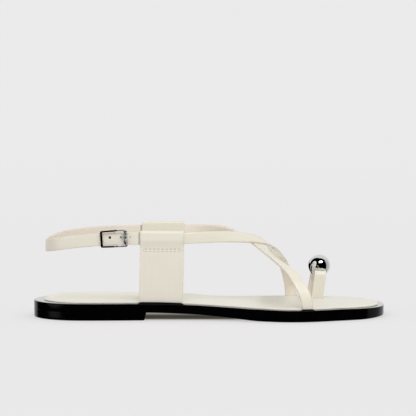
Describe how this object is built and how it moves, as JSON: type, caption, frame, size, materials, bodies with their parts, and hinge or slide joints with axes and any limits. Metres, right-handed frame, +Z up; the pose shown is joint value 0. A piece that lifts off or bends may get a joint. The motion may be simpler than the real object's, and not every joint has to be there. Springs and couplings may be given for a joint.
{
  "type": "toe loop sandal",
  "caption": "Flat right-foot sandal with crossed leather straps, side tabs, a buckled heel sling and a big-toe loop that carries a polished ball, on a thin sole with a low heel.",
  "frame": {"origin": "on the floor under the middle of the sandal's bounding box", "axes": "+X from the heel to the toe, +Y to the inner side of the foot, +Z up"},
  "size_m": [0.258, 0.0884, 0.0667],
  "materials": {
    "sole": "black, smooth, glossy at the edge",
    "insole": "cream, smooth, satin",
    "strap_leather": "cream, smooth, light gloss",
    "polished_metal": "mirror polish"
  },
  "bodies": {
    "root": {"outsole": "sole", "heel": "sole", "insole": "insole", "lateral_tab": "strap_leather", "medial_tab": "strap_leather", "straps": "strap_leather", "toe_loop": "strap_leather", "toe_ball": "polished_metal", "buckle_frame": "polished_metal", "buckle_prong": "polished_metal"}
  },
  "joints": []
}
